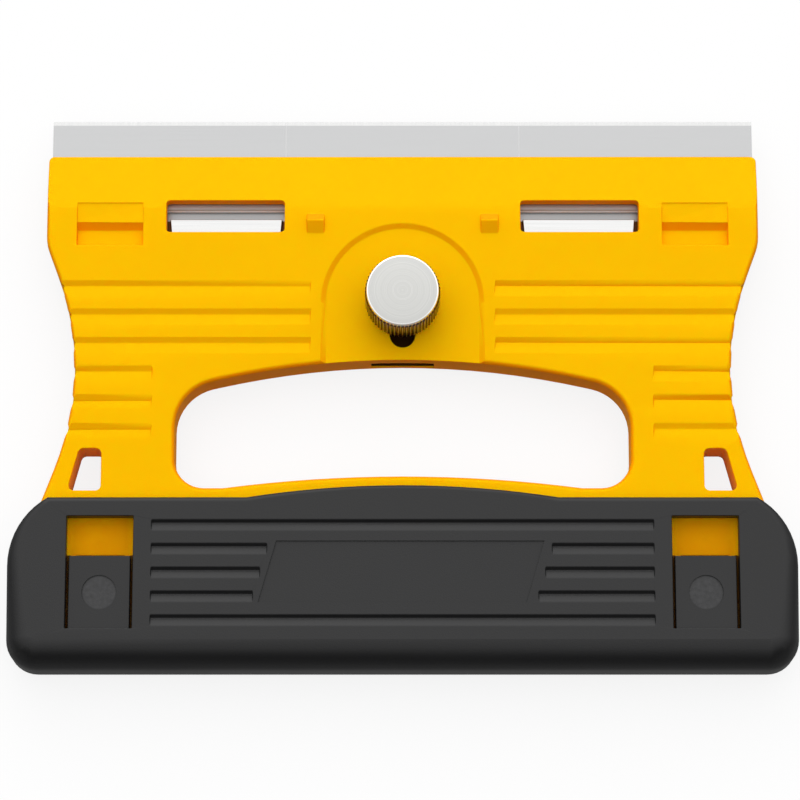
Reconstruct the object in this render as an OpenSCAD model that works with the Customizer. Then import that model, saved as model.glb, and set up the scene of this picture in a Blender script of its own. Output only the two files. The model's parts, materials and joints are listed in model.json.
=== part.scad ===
// Wide razor scraper for three blades set side by side.
// A two-part moulded body with a finger loop carries a sliding blade carriage, which a
// knurled knob locks through a slot. The blade cover is kept on the grip bar as a palm rest.
// The front edge of the body lies at y = 0 before the part is set on its origin, the blades
// point along +Y and the back of the body is at z = 0.

/* [Blades] */
// Width of one blade
blade_w = 40; // [36:0.5:44]
// Height of a blade from its edge to its back
blade_h = 16.3; // [14:0.1:17]
// Thickness of the blade steel
blade_t = 0.25; // [0.2:0.01:0.4]
// Width of the ground bevel
blade_bevel = 0.7; // [0.4:0.05:1.2]
// Gap between neighbouring blades
blade_gap = 0.05; // [0.02:0.01:0.2]
// How far the blades stand out of the body
blade_reach = 6.9; // [5:0.1:7]

/* [Body] */
// Thickness of the body from back to front
body_t = 7; // [6.8:0.1:9]
// Thickness of the rear wall behind the carriage
rear_wall = 1.7; // [1.4:0.05:1.9]
// Plastic on each side of the row of blades
head_margin = 0.4; // [0.2:0.05:1.5]
// Thickness of the front shell at the lip over the blades
lip_t = 0.9; // [0.6:0.05:1.5]
// Depth of the two lips that close the blade slit
lip_depth = 0.9; // [0.6:0.05:1]
// Length of the sloped front of the head
slope_len = 9.6; // [8:0.1:11]
// Edge rounding of the front of the body
edge_r = 0.8; // [0.4:0.1:1.2]
// Edge rounding of the back of the body
back_edge_r = 0.8; // [0.4:0.1:1.4]
// Corner radius of the head beside the blades
head_corner_r = 1; // [0.6:0.1:2]
// Distance from the front edge to the shoulder, where the head narrows
shoulder_d = 15.9; // [14:0.1:18]
// Rounding of the shoulder
shoulder_r = 8; // [4:0.5:10]
// Distance from the front edge to the corner of the waist
waist_d = 38.2; // [36:0.1:40]
// How far the corner of the waist lies inside the side of the head
waist_in = 8.3; // [6:0.1:8.6]
// Large radius of the waist
waist_r = 48; // [36:1:52]

/* [Finger loop] */
// Distance from the front edge to the loop at the middle
loop_d = 36.1; // [35.2:0.1:38]
// Width of the arms beside the loop, out to the corner of the waist
arm_w = 13.9; // [13.5:0.1:17]
// Length of the loop at the middle
loop_len = 20; // [18:0.1:21]
// Arch radius of the loop's front edge
loop_arch_r = 137; // [110:1:200]
// Arch radius of the loop's rear edge
loop_sill_r = 226; // [190:1:300]
// Distance from the side of the loop to the end of the front arch
loop_arch_in = 7.2; // [7:0.1:10]
// Distance from the side of the loop to the end of the rear arch
loop_sill_in = 8.2; // [7:0.1:12]
// Corner radius at the front of the loop
loop_front_r = 8; // [6:0.25:8.5]
// Corner radius at the rear of the loop
loop_rear_r = 5; // [3:0.25:6]

/* [Grip bar and cover] */
// How far each side of the bar stands out past the side of the head
bar_out = 1; // [0.3:0.1:2]
// Length of the bar that the cover takes
bar_len = 25.7; // [24:0.1:32]
// Plastic between the loop and the mouth of the cover, at the sides of the arched mouth
mouth_in = 4; // [2.6:0.1:5]
// How far behind the mouth of the cover the flare of the body ends
flare_in = 3; // [2:0.1:5]
// Corner radius at the end of the bar
bar_r = 4; // [2:0.25:6]
// Clearance of the cover on the bar
cover_gap = 0.2; // [0.1:0.05:0.4]
// Front and back wall of the cover
cover_wall = 2.2; // [1.8:0.1:3]
// Side wall of the cover
cover_side = 4.1; // [3:0.1:5]
// End wall of the cover
cover_end = 2.7; // [2:0.1:4]
// Corner radius of the cover beside its mouth
cover_corner_r = 13; // [10:0.1:14]
// Angle through which that corner runs before it meets the mouth
cover_corner_a = 61; // [56:1:78]
// Corner radius at the end of the cover
cover_end_r = 5; // [4:0.25:8]
// Rise of the arched mouth at the middle
mouth_rise = 2; // [0.8:0.1:2.2]
// Half width of the arched part of the mouth
mouth_rise_half = 26; // [20:0.5:32]
// Edge rounding of the cover at its mouth
mouth_edge_r = 0.7; // [0.3:0.05:1.2]
// Edge rounding of the front of the cover at its end
palm_r = 4.6; // [3:0.1:5.5]
// Edge rounding of the back of the cover at its end
palm_back_r = 3; // [2:0.1:4]

/* [Snap fingers] */
// Distance from the side of the bar to the middle of a finger
finger_side = 11.2; // [10.5:0.1:13]
// Width of a finger
finger_w = 10.2; // [8:0.1:10.5]
// Length of a finger
finger_len = 12.3; // [10:0.1:13]
// How far the root of a finger runs into the cover
finger_root = 0.6; // [0.3:0.05:1.5]
// Gap along both sides of a finger
finger_gap = 0.45; // [0.3:0.05:1.2]
// How far a finger's face lies under the face of the cover
finger_drop = 0.8; // [0.3:0.05:1]
// Distance from the mouth to the window of a finger
finger_in = 3.3; // [2:0.1:4]
// Open length of the window in front of a finger
finger_open = 6.6; // [5:0.1:8]
// Width of the hook under a finger
hook_w = 7.5; // [6:0.1:7.8]
// Length of the hook
hook_len = 2.4; // [1.6:0.1:3]
// Height of the hook under the cover's inner face
hook_h = 0.6; // [0.3:0.05:0.8]
// Diameter of the thumb dish in a finger
dish_d = 5.8; // [4:0.1:7]
// Depth of the thumb dish
dish_depth = 0.25; // [0.1:0.05:0.4]

/* [Head details] */
// Plastic between a latch recess and a window over the carriage
window_side = 3.95; // [2:0.05:5]
// Width of a window
window_w = 20.1; // [16:0.1:22]
// Length of a window along the body
window_len = 5.6; // [4:0.1:6]
// Distance from the front edge to a window
window_d = 8.2; // [7.8:0.1:9.5]
// Corner radius of a window
window_r = 0.5; // [0.2:0.05:1]
// Distance from the front edge to the step of a latch recess
latch_d = 12.7; // [12:0.1:14]
// Length of the sloping face of the latch step
latch_step = 1.2; // [0.4:0.1:2]
// Length of the floor behind the latch step
latch_floor = 2.8; // [2.5:0.1:3]
// Distance from the side of the head to the middle of a latch recess
latch_in = 10.75; // [9:0.05:13]
// Width of a latch recess
latch_w = 11.2; // [9:0.1:12]
// Depth of the latch step under the flat of the head
latch_depth = 1.3; // [0.8:0.05:1.6]
// Depth of the ramp in front of the latch step
ramp_depth = 0.35; // [0.2:0.05:0.6]
// Plastic between a window and a detent nub
nub_side = 3.8; // [2:0.05:5]
// Width of a detent nub
nub_w = 2.95; // [2:0.05:4]
// Height of a detent nub
nub_h = 1; // [0.4:0.05:1.3]
// Distance from the front edge to the ridge of a detent nub
nub_d = 12; // [11.4:0.1:13]
// Length of the front face of a detent nub
nub_front = 1.4; // [0.8:0.1:1.6]
// Length of the rear face of a detent nub
nub_back = 2.1; // [1:0.1:2.4]
// Radius of the arched recess around the knob
arch_r = 13.85; // [11:0.05:14]
// Length of the sloping wall of the arched recess
arch_wall = 0.9; // [0.2:0.05:1.5]
// Depth of the arched recess
arch_depth = 0.5; // [0.3:0.05:0.8]

/* [Grip grooves] */
// Distance from the front edge to the first groove
groove_d = 22.3; // [22:0.1:25]
// Pitch of the grooves
groove_pitch = 4.95; // [4:0.01:5]
// Grooves on each side of the knob, and again on each arm of the loop
groove_count = 3; // [2:1:3]
// Depth of a groove
groove_depth = 0.4; // [0.2:0.05:0.8]
// Length of a groove from its front edge to the end of its ramp
groove_ramp = 2.8; // [2.2:0.1:3.4]
// Length of the front wall of a groove
groove_wall = 1; // [0.3:0.05:1.4]
// Plastic between the arched recess and the grooves beside it
groove_knob_in = 1.7; // [0.8:0.1:4]
// Plastic between the loop and the grooves on an arm
groove_arm_in = 3.9; // [2:0.1:6]
// Depth of the notch that a groove leaves in the side of the body
groove_notch = 0.45; // [0.2:0.05:0.6]
// Pitch of the grooves on the cover
cover_groove_pitch = 4; // [3:0.05:4.2]
// Distance from the mouth to the first groove of the cover
cover_groove_in = 3.9; // [3.5:0.1:5.2]
// Plastic between a finger's window and the long grooves of the cover
cover_groove_side = 3; // [2:0.1:6]
// Depth of the cover's grooves
cover_groove_depth = 0.6; // [0.3:0.05:0.9]
// Length of the front wall of the cover's grooves
cover_groove_wall = 0.5; // [0.2:0.05:0.9]
// Length of the cover's grooves from their front edge to the end of their ramp
cover_groove_ramp = 1.9; // [1.2:0.1:2.4]
// Width of the bare panel on the cover
panel_w = 44.5; // [40:0.5:48]
// Depth of the bare panel
panel_depth = 0.3; // [0.1:0.05:0.5]
// How far the panel reaches in front of the first short groove
panel_rim = 0.4; // [0.2:0.1:1]
// Distance from the panel to the short grooves
panel_gap = 1.4; // [0.8:0.1:3]
// Angle by which the panel's ends lean
panel_angle = 16; // [0:1:25]

/* [Lanyard holes] */
// Plastic between a lanyard hole and the flared side of the body
lanyard_wall = 3.7; // [2.5:0.05:4]
// Width of a lanyard hole at its rear end
lanyard_w = 5.6; // [5.3:0.1:6]
// Length of a lanyard hole
lanyard_len = 7.2; // [6.6:0.1:7.5]
// Distance from the mouth of the cover to a lanyard hole
lanyard_in = 1.5; // [1.2:0.1:2.6]
// Angle by which the outer side of a lanyard hole leans
lanyard_lean = 15; // [8:1:20]
// Corner radius of a lanyard hole
lanyard_r = 0.8; // [0.5:0.1:1.3]

/* [Carriage] */
// Travel of the carriage when the blades are drawn back
travel = 5.7; // [4.5:0.1:6.2]
// Thickness of the carrier plate
carrier_t = 1.2; // [1:0.05:1.3]
// Running clearance of the carrier on the rear wall
run_gap = 0.05; // [0.03:0.01:0.08]
// Side clearance of the carriage in the body
side_gap = 0.3; // [0.2:0.05:0.5]
// Width of the rails that hold the carriage at both sides
rail_w = 2.9; // [2.4:0.1:3.4]
// Length of the wide part of the carrier
carrier_len = 13.3; // [12.5:0.1:14]
// Length of the sloped shoulders of the carrier
carrier_neck = 6.5; // [5:0.1:7]
// Width of the carrier where the shoulders end
carrier_neck_w = 24; // [18:0.5:30]
// Width of the carrier's tail
tail_w = 10; // [8:0.1:11]
// How far the tail reaches behind the knob's axis
tail_reach = 4; // [2.6:0.1:4.2]
// Height of the raised pads on the carrier, seen in the windows
pad_h = 0.9; // [0.5:0.05:1.1]
// Distance from the pressure bar to the pads
pad_gap = 1.35; // [0.5:0.05:2]
// Distance from the side of a window to the side of a pad at its front
pad_in = 0.5; // [0.3:0.05:1]
// Angle by which the sides of a pad lean
pad_lean = 5; // [0:1:10]
// Thickness of the pressure bar over the blades
press_t = 0.8; // [0.6:0.05:0.9]
// Room over the pressure bar, up to the joint of the two shells
press_room = 0.3; // [0.2:0.05:0.6]
// Chamfer along the rear edge of the pressure bar
press_chamfer = 0.3; // [0.1:0.05:0.4]
// Diameter of the blade pins
pin_d = 2.5; // [2:0.1:3]
// Distance from a blade's middle to its two holes
pin_x = 12; // [8:0.5:14]
// Distance from a blade's edge to its holes
pin_in = 11.9; // [11.5:0.1:12.5]
// Clearance of the blade holes on the pins
pin_gap = 0.1; // [0.05:0.01:0.2]

/* [Knob] */
// Plastic between the loop and the tail of the carriage when it is drawn back
tail_wall = 0.3; // [0.2:0.05:1]
// Outer diameter of the knurl
knob_od = 12.7; // [11:0.1:14]
// Height of the knob
knob_h = 7.6; // [6:0.1:9]
// Chamfer of the knob's rims
knob_chamfer = 0.4; // [0.2:0.05:0.8]
// Number of knurl teeth
knurl_count = 60; // [36:1:72]
// Depth of the knurl
knurl_depth = 0.3; // [0.15:0.05:0.4]
// Diameter of the stud
stud_d = 3.5; // [3:0.1:4]
// Depth of the stud in the knob
stud_in_knob = 4; // [3:0.1:5]
// Width of the slot that the stud runs in
slot_w = 4.3; // [4.2:0.05:4.8]
// Thickness of the washer under the knob
washer_t = 0.8; // [0.5:0.05:1]
// Diameter of the washer
washer_d = 11; // [9:0.1:12]
// Flange diameter of the clinch nut
nut_d = 6.6; // [6:0.1:6.8]
// Shank diameter of the clinch nut in the carrier
nut_shank_d = 5; // [4.6:0.1:5.4]
// Radial clearance of the stud in the nut and the washer
stud_gap = 0.05; // [0.02:0.01:0.09]

/* [Shell screws] */
// Diameter of the screw heads
screw_head_d = 5; // [4:0.1:5.4]
// Height of the screw heads
screw_head_h = 1.4; // [1:0.1:1.6]
// How deep the screw heads lie in the back
screw_sink = 0.4; // [0.2:0.05:0.6]
// Diameter of the screws
screw_d = 2.5; // [2:0.1:3]
// How deep the screws go into the front shell
screw_bite = 1.8; // [1.2:0.1:2]
// Clearance of the screws in the rear shell
screw_gap = 0.15; // [0.1:0.05:0.3]
// Length of each of the two slots of the cross drive
drive_len = 3.3; // [2:0.1:3.6]
// Width of the slots of the cross drive
drive_w = 0.5; // [0.4:0.05:0.8]
// Depth of the cross drive
drive_depth = 0.9; // [0.5:0.05:0.95]
// Distance of the inner screws from the middle
screw_inner_x = 24; // [20:0.5:28]
// Distance of the bar screws from the middle
screw_bar_x = 22; // [15:0.5:30]
// Distance from the loop to the screws in front of it
screw_loop_in = 5.2; // [4.6:0.1:5.4]
// Distance from the mouth to the arm screws
screw_mouth_in = 8.3; // [6:0.1:9]

/* [Hidden] */
$fn = 48;
// How far cutters reach past the faces that they open
over = 1;
// Greatest distance between an arc and its straight pieces
chord_err = 0.02;
// Straight pieces in a quarter round of an edge, and in half of an arched edge
round_steps = 5;
arch_steps = 8;
yellow = "#FDBB05";
black = "#3C3C3C";
steel = "#CFCFCF";
bright = "#EDE9E2";

// Body stations along Y and X
blade_count = 3;
blade_pitch = blade_w + blade_gap;
head_w = blade_count * blade_w + (blade_count - 1) * blade_gap + 2 * head_margin;
bar_w = head_w + 2 * bar_out;
waist_x = head_w / 2 - waist_in;
loop_w = 2 * (waist_x - arm_w);
sill_y = -loop_d - loop_len;
mouth_y = sill_y - mouth_in;
bar_end_y = mouth_y - bar_len;
flare_y = mouth_y - flare_in;

// Carriage stack above the back of the body
carrier_z = rear_wall + run_gap;
blade_z = carrier_z + carrier_t;
press_z = blade_z + blade_t;
split_z = press_z + press_t + press_room;
carrier_front_y = -lip_depth - side_gap;
carrier_w = head_w - 2 * rail_w - 2 * side_gap;
tip_y = blade_reach;
blade_back_y = tip_y - blade_h;
knob_y = -loop_d + tail_wall + tail_reach + travel;
pin_y = tip_y - pin_in;
carriage_back_y = carrier_front_y - carrier_len;
neck_y = carriage_back_y - carrier_neck;
rail_end_y = blade_back_y - travel - side_gap;

// Knob stack above the recess
arch_z = body_t - arch_depth;
washer_z = arch_z + run_gap;
knob_z = washer_z + washer_t;

// Cover around the bar
cover_w = bar_w + 2 * cover_gap + 2 * cover_side;
cover_end_y = bar_end_y - cover_gap - cover_end;
cover_low = -cover_gap - cover_wall;
cover_high = body_t + cover_gap + cover_wall;
cover_corner_y = mouth_y - cover_corner_r * sin(cover_corner_a);
finger_x = bar_w / 2 - finger_side;
finger_top_y = mouth_y - finger_in - finger_open;
finger_root_y = finger_top_y - finger_len;
hook_side = (finger_w - hook_w) / 2;

// The middle of the whole part and its lowest point give the origin
middle_y = (tip_y + cover_end_y) / 2;
module placed() translate([0, -middle_y, -cover_low]) children();

// Plane geometry of outlines
function unit(v) = v / norm(v);
function turned(v, a) = [v[0] * cos(a) - v[1] * sin(a), v[0] * sin(a) + v[1] * cos(a)];
function flat(p) = [p[0], p[1]];
// Number of straight pieces of an arc
function arc_parts(r, turn) =
    max(2, ceil(abs(turn) / (2 * acos(1 - chord_err / max(r, 2 * chord_err)))));
// Arc that rounds corner q between p and s
function corner(p, q, s, r) =
    let (u = unit(q - p), v = unit(s - q),
         turn = atan2(u[0] * v[1] - u[1] * v[0], u * v),
         side = sign(turn),
         start = q - r * tan(abs(turn) / 2) * u,
         middle = start + side * r * [-u[1], u[0]],
         n = arc_parts(r, turn))
    r == 0 ? [q] : [for (i = [0:n]) middle + turned(start - middle, turn * i / n)];
// Outline from corners given as [x, y, radius]
function rounded(c) =
    [for (i = [0:len(c) - 1])
        let (before = c[(i + len(c) - 1) % len(c)], after = c[(i + 1) % len(c)])
        each corner(flat(before), flat(c[i]), flat(after), c[i][2])];
function mirrored(half) = [for (i = [len(half) - 1:-1:0]) [-half[i][0], half[i][1], half[i][2]]];
function outward(p, q) = unit([q[1] - p[1], p[0] - q[0]]);
// Direction in which a point of an outline moves when its two edges move out by 1
function miter(c, i) =
    let (n = len(c), a = outward(c[(i + n - 1) % n], c[i]), b = outward(c[i], c[(i + 1) % n]))
    (a + b) / (1 + a * b);
function grown(c, d, z) =
    [for (i = [0:len(c) - 1]) let (p = c[i] + d[i] * miter(c, i)) [p[0], p[1], z[i]]];
function all(c, value) = [for (p = c) value];

// Solid through rings of points that lie above one another. The first point of a ring sees all
// the others, so its two ends are fans of triangles around that point.
module loft(rings) {
    n = len(rings[0]);
    top = (len(rings) - 1) * n;
    polyhedron(
        points = [for (r = rings) each r],
        faces = concat(
            [for (i = [1:n - 2]) [0, i, i + 1]],
            [for (i = [1:n - 2]) [top, top + i + 1, top + i]],
            [for (k = [0:len(rings) - 2], i = [0:n - 1])
                let (a = k * n + i, b = k * n + (i + 1) % n) each [[a, a + n, b + n], [a, b + n, b]]]));
}

// Slab whose upper and lower edges have a radius at each point of the outline
module edged_slab(c, z0, z1, low, high) {
    lower = max(low) == 0 ? [grown(c, all(c, 0), all(c, z0))] :
        [for (k = [0:round_steps]) let (a = 90 * k / round_steps)
            grown(c, -low * (1 - sin(a)), [for (r = low) z0 + r * (1 - cos(a))])];
    upper = max(high) == 0 ? [grown(c, all(c, 0), all(c, z1))] :
        [for (k = [0:round_steps]) let (a = 90 * k / round_steps)
            grown(c, -high * (1 - cos(a)), [for (r = high) z1 - r * (1 - sin(a))])];
    loft(concat(lower, upper));
}

// Cutter through a wall that leaves a rounded edge at z1
module flared_cut(c, z0, z1, r) {
    loft(concat(
        [grown(c, all(c, 0), all(c, z0))],
        [for (k = [0:round_steps]) let (a = 90 * k / round_steps)
            grown(c, all(c, r * (1 - cos(a))), all(c, z1 - r * (1 - sin(a))))],
        [grown(c, all(c, r), all(c, z1 + over))]));
}

// Prism along X with a profile of [y, z] points
module along_x(x0, x1, profile)
    translate([x0, 0, 0]) rotate([90, 0, 90]) linear_extrude(x1 - x0) polygon(profile);
module both_sides() for (side = [0, 1]) mirror([side, 0, 0]) children();

// Directions of the body's side before and behind the waist, and the radius that fits between
waist_lead = atan((head_w / 2 - waist_x) / (waist_d - shoulder_d));
waist_tail = atan((bar_w / 2 - waist_x) / (-flare_y - waist_d));
lead_len = (waist_d - shoulder_d) / cos(waist_lead) - shoulder_r * tan(abs(waist_lead) / 2);
tail_len = (-flare_y - waist_d) / cos(waist_tail) - bar_r * tan(abs(waist_tail) / 2);
waist_round = min(waist_r, (min(lead_len, tail_len) - side_gap) / tan(abs(waist_lead + waist_tail) / 2));

// Outlines
body_right = [
    [bar_w / 2, bar_end_y, bar_r],
    [bar_w / 2, flare_y, bar_r],
    [waist_x, -waist_d, waist_round],
    [head_w / 2, -shoulder_d, shoulder_r],
    [head_w / 2, 0, head_corner_r]];
body_outline = rounded(concat([[0, 0, 0]], mirrored(body_right), body_right));
function body_edges(r) =
    [for (p = body_outline) p[1] > -shoulder_d / 2 ? min(r, head_corner_r / 2) : r];
function loop_front(x) = -loop_d - x * x / (2 * loop_arch_r);
function loop_rear(x) = sill_y - x * x / (2 * loop_sill_r);
loop_arch_half = loop_w / 2 - loop_arch_in;
loop_sill_half = loop_w / 2 - loop_sill_in;
loop_corner_y = loop_front(loop_arch_half) - loop_arch_in * loop_arch_half / loop_arch_r;
loop_rear_y = loop_rear(loop_sill_half);
loop_right = concat(
    [for (i = [1:arch_steps]) let (x = loop_sill_half * i / arch_steps) [x, loop_rear(x), 0]],
    [[loop_w / 2, loop_rear_y, loop_rear_r], [loop_w / 2, loop_corner_y, loop_front_r]],
    [for (i = [arch_steps:-1:1]) let (x = loop_arch_half * i / arch_steps) [x, loop_front(x), 0]]);
loop_outline = rounded(concat(
    [[0, loop_front(0), 0]], mirrored(loop_right), [[0, sill_y, 0]], loop_right));
// Side of the body at a station along its length
body_side = [for (p = body_outline) if (p[0] > loop_w / 2) [p[1], p[0]]];
function side_at(y) = lookup(y, body_side);
// Recess around the knob, round in front and open towards the loop
arch_outline = concat(
    [[-arch_r, loop_front(arch_r) - arch_r], [arch_r, loop_front(arch_r) - arch_r]],
    [let (n = arc_parts(arch_r, 180)) for (i = [0:n]) let (a = 180 * i / n)
        [0, knob_y] + arch_r * [cos(a), sin(a)]]);
// Lanyard hole beside the flare, with a leaning outer side
lanyard_y = mouth_y + lanyard_in;
lanyard_out = waist_x + tan(waist_tail) * (-waist_d - lanyard_y) - lanyard_wall;
lanyard_x = lanyard_out - lanyard_w;
lanyard_outline = rounded([
    [lanyard_x, lanyard_y, lanyard_r],
    [lanyard_out, lanyard_y, lanyard_r],
    [lanyard_out - lanyard_len * tan(lanyard_lean), lanyard_y + lanyard_len, lanyard_r],
    [lanyard_x, lanyard_y + lanyard_len, lanyard_r]]);

// Screws that hold the two shells together
screw_arm_y = loop_front(loop_arch_half) + 2 * screw_loop_in;
screw_spots = [
    for (side = [-1, 1]) each [
        [side * (loop_w / 2 + side_at(screw_arm_y)) / 2, screw_arm_y],
        [side * (loop_w / 2 + lanyard_x) / 2, mouth_y + screw_mouth_in],
        [side * screw_inner_x, loop_front(screw_inner_x) + screw_loop_in],
        [side * screw_bar_x, mouth_y - bar_len / 2]]];
module at_screws() for (spot = screw_spots) translate([spot[0], spot[1], 0]) children();

// Long slot for the stud, from the locked place back by the travel
module stud_slot(z0, z1) {
    for (y = [knob_y, knob_y - travel])
        translate([0, y, z0]) cylinder(d = slot_w, h = z1 - z0);
    translate([-slot_w / 2, knob_y - travel, z0]) cube([slot_w, travel, z1 - z0]);
}

// Section of a groove from its bottom through two points of a face and as far again beyond them
function vee(bottom, a, b) = [bottom, 2 * a - bottom, 2 * b - bottom];
// Groove with a front wall and a ramp behind it, cut into a face at height z
module groove(x0, x1, y, z, depth, wall, ramp)
    along_x(x0, x1, vee([y - wall, z - depth], [y, z], [y - ramp, z]));

module side_notch(y)
    translate([0, 0, split_z - over])
        linear_extrude(body_t - split_z + 2 * over)
            polygon(vee([side_at(y - groove_wall) - groove_notch, y - groove_wall],
                        [side_at(y), y], [side_at(y - groove_ramp), y - groove_ramp]));

module body_grooves()
    both_sides() for (i = [0:2 * groove_count - 1]) {
        y = -groove_d - i * groove_pitch;
        inner_x = i < groove_count ? arch_r + groove_knob_in : loop_w / 2 + groove_arm_in;
        groove(inner_x, head_w / 2, y, body_t, groove_depth, groove_wall, groove_ramp);
        side_notch(y);
    }

// Recess in which a hook of the cover drops when the cover is on the head
latch_x = head_w / 2 - latch_in;
latch_back_y = -latch_d - latch_step / 2 - latch_floor;
window_x = latch_x - latch_w / 2 - window_side - window_w / 2;
nub_x = window_x - window_w / 2 - nub_side - nub_w / 2;
module latch_recess()
    along_x(latch_x - latch_w / 2, latch_x + latch_w / 2, [
        [over - slope_len, body_t + over], [over - slope_len, body_t - ramp_depth],
        [-latch_d + latch_step / 2, body_t - ramp_depth],
        [-latch_d - latch_step / 2, body_t - latch_depth],
        [latch_back_y, body_t - latch_depth], [latch_back_y, body_t + over]]);

slope = (body_t - split_z - lip_t) / slope_len;
module detent_nub()
    along_x(nub_x - nub_w / 2, nub_x + nub_w / 2, [
        [-nub_d, body_t + nub_h], [nub_front - nub_d, body_t],
        [nub_front - nub_d, body_t - over], [-nub_d - nub_back, body_t - over],
        [-nub_d - nub_back, body_t]]);

module front_shell() color(yellow) placed() difference() {
    union() {
        difference() {
            edged_slab(body_outline, split_z, body_t, all(body_outline, 0), body_edges(edge_r));
            along_x(-head_w, head_w, [
                [over, split_z + lip_t - slope * over], [over, body_t + over],
                [-slope_len - over / slope, body_t + over]]);
        }
        both_sides() detent_nub();
        // Rails over the ends of the blades and the lip over the slit
        intersection() {
            linear_extrude(split_z) polygon(body_outline);
            union() {
                both_sides()
                    translate([head_w / 2 - rail_w, rail_end_y + side_gap / 2, press_z + pin_gap])
                        cube([rail_w, -rail_end_y - side_gap / 2 + over, split_z]);
                translate([-head_w / 2, -lip_depth, press_z + side_gap])
                    cube([head_w, lip_depth + over, split_z]);
            }
        }
    }
    flared_cut(loop_outline, split_z - over, body_t, edge_r);
    both_sides() {
        translate([window_x, -window_d - window_len / 2, split_z - over]) linear_extrude(body_t)
            polygon(rounded([for (c = [[1, 1], [-1, 1], [-1, -1], [1, -1]])
                [c[0] * window_w / 2, c[1] * window_len / 2, window_r]]));
        latch_recess();
        translate([0, 0, split_z - over]) linear_extrude(body_t) polygon(lanyard_outline);
        // Channel for the hook of the cover, open towards the end of the bar
        translate([finger_x - hook_w / 2 - side_gap, bar_end_y - over, body_t - hook_h - side_gap])
            cube([hook_w + 2 * side_gap, finger_top_y + side_gap - bar_end_y + over, over + hook_h]);
    }
    // Arched recess around the knob and its slot
    loft([grown(arch_outline, all(arch_outline, -arch_wall), all(arch_outline, arch_z)),
          grown(arch_outline, all(arch_outline, arch_wall), all(arch_outline, 2 * body_t - arch_z))]);
    stud_slot(split_z - over, body_t);
    body_grooves();
    translate([0, 0, split_z - over]) at_screws() cylinder(d = screw_d, h = screw_bite + over);
}

// Space in which the carriage slides
cavity_half = carrier_w / 2 + side_gap;
module cavity()
    translate([0, 0, rear_wall]) linear_extrude(split_z) polygon([
        for (side = [1, -1]) each [for (i = side > 0 ? [0:4] : [4:-1:0])
            let (p = [[cavity_half, -lip_depth],
                      [cavity_half, carriage_back_y - travel - side_gap],
                      [carrier_neck_w / 2 + side_gap, neck_y - travel - side_gap],
                      [tail_w / 2 + side_gap, neck_y - travel - side_gap],
                      [tail_w / 2 + side_gap, -loop_d - 2 * over]][i])
            [side * p[0], p[1]]]]);

module rear_shell() color(yellow) placed() difference() {
    edged_slab(body_outline, 0, split_z, body_edges(back_edge_r), all(body_outline, 0));
    mirror([0, 0, 1]) flared_cut(loop_outline, -split_z - over, 0, back_edge_r);
    cavity();
    // Rails under the ends of the blades and the lip under the slit
    both_sides() translate([head_w / 2 - rail_w - run_gap, rail_end_y, blade_z - run_gap])
        cube([rail_w + over, -rail_end_y + over, split_z]);
    translate([-cavity_half, -lip_depth - run_gap, blade_z - run_gap])
        cube([2 * cavity_half, lip_depth + over, split_z]);
    both_sides() translate([0, 0, -over]) linear_extrude(body_t) polygon(lanyard_outline);
    at_screws() {
        translate([0, 0, -over]) cylinder(d = screw_d + 2 * screw_gap, h = body_t);
        translate([0, 0, -over])
            cylinder(d = screw_head_d + 2 * screw_gap, h = over + screw_sink + screw_head_h);
    }
}

module shell_screws() color(steel) placed() at_screws() translate([0, 0, screw_sink]) difference() {
    union() {
        cylinder(d = screw_head_d, h = screw_head_h);
        cylinder(d = screw_d, h = split_z + screw_bite - screw_sink);
    }
    for (a = [0, 90]) rotate(a) translate([-drive_len / 2, -drive_w / 2, -over])
        cube([drive_len, drive_w, over + drive_depth]);
}

// Places of the blade pins
pin_spots = [for (i = [0:blade_count - 1], side = [-1, 1])
    [(i - (blade_count - 1) / 2) * blade_pitch + side * pin_x, pin_y]];
module at_pins() for (spot = pin_spots) translate([spot[0], spot[1], 0]) children();

// Pad that stiffens the carrier behind the blades and shows in a window
pad_front_y = blade_back_y - pad_gap;
pad_half = window_w / 2 - pad_in;
pad_rear_half = pad_half - (pad_front_y - carriage_back_y) * tan(pad_lean);
module carrier_pad()
    translate([window_x, 0, carrier_z]) linear_extrude(carrier_t + pad_h) polygon([
        [-pad_half, pad_front_y], [-pad_rear_half, carriage_back_y],
        [pad_rear_half, carriage_back_y], [pad_half, pad_front_y]]);

module blade_carrier() color(bright) placed() difference() {
    union() {
        translate([0, 0, carrier_z]) linear_extrude(carrier_t) polygon([
            for (side = [1, -1]) each [for (i = side > 0 ? [0:4] : [4:-1:0])
                let (p = [[carrier_w / 2, carrier_front_y], [carrier_w / 2, carriage_back_y],
                          [carrier_neck_w / 2, neck_y], [tail_w / 2, neck_y],
                          [tail_w / 2, knob_y - tail_reach]][i])
                [side * p[0], p[1]]]]);
        both_sides() carrier_pad();
    }
    at_pins() cylinder(d = pin_d, h = split_z);
    translate([0, knob_y, 0]) cylinder(d = nut_shank_d, h = split_z);
}

module carrier_pins() color(steel) placed()
    at_pins() translate([0, 0, carrier_z]) cylinder(d = pin_d, h = carrier_t + blade_t + press_t);

module pressure_bar() color(bright) placed() difference() {
    along_x(-carrier_w / 2, carrier_w / 2, [
        [carrier_front_y, press_z], [carrier_front_y, press_z + press_t - press_chamfer],
        [carrier_front_y - press_chamfer, press_z + press_t],
        [blade_back_y + press_chamfer, press_z + press_t],
        [blade_back_y, press_z + press_t - press_chamfer], [blade_back_y, press_z]]);
    at_pins() cylinder(d = pin_d, h = body_t);
}

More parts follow.
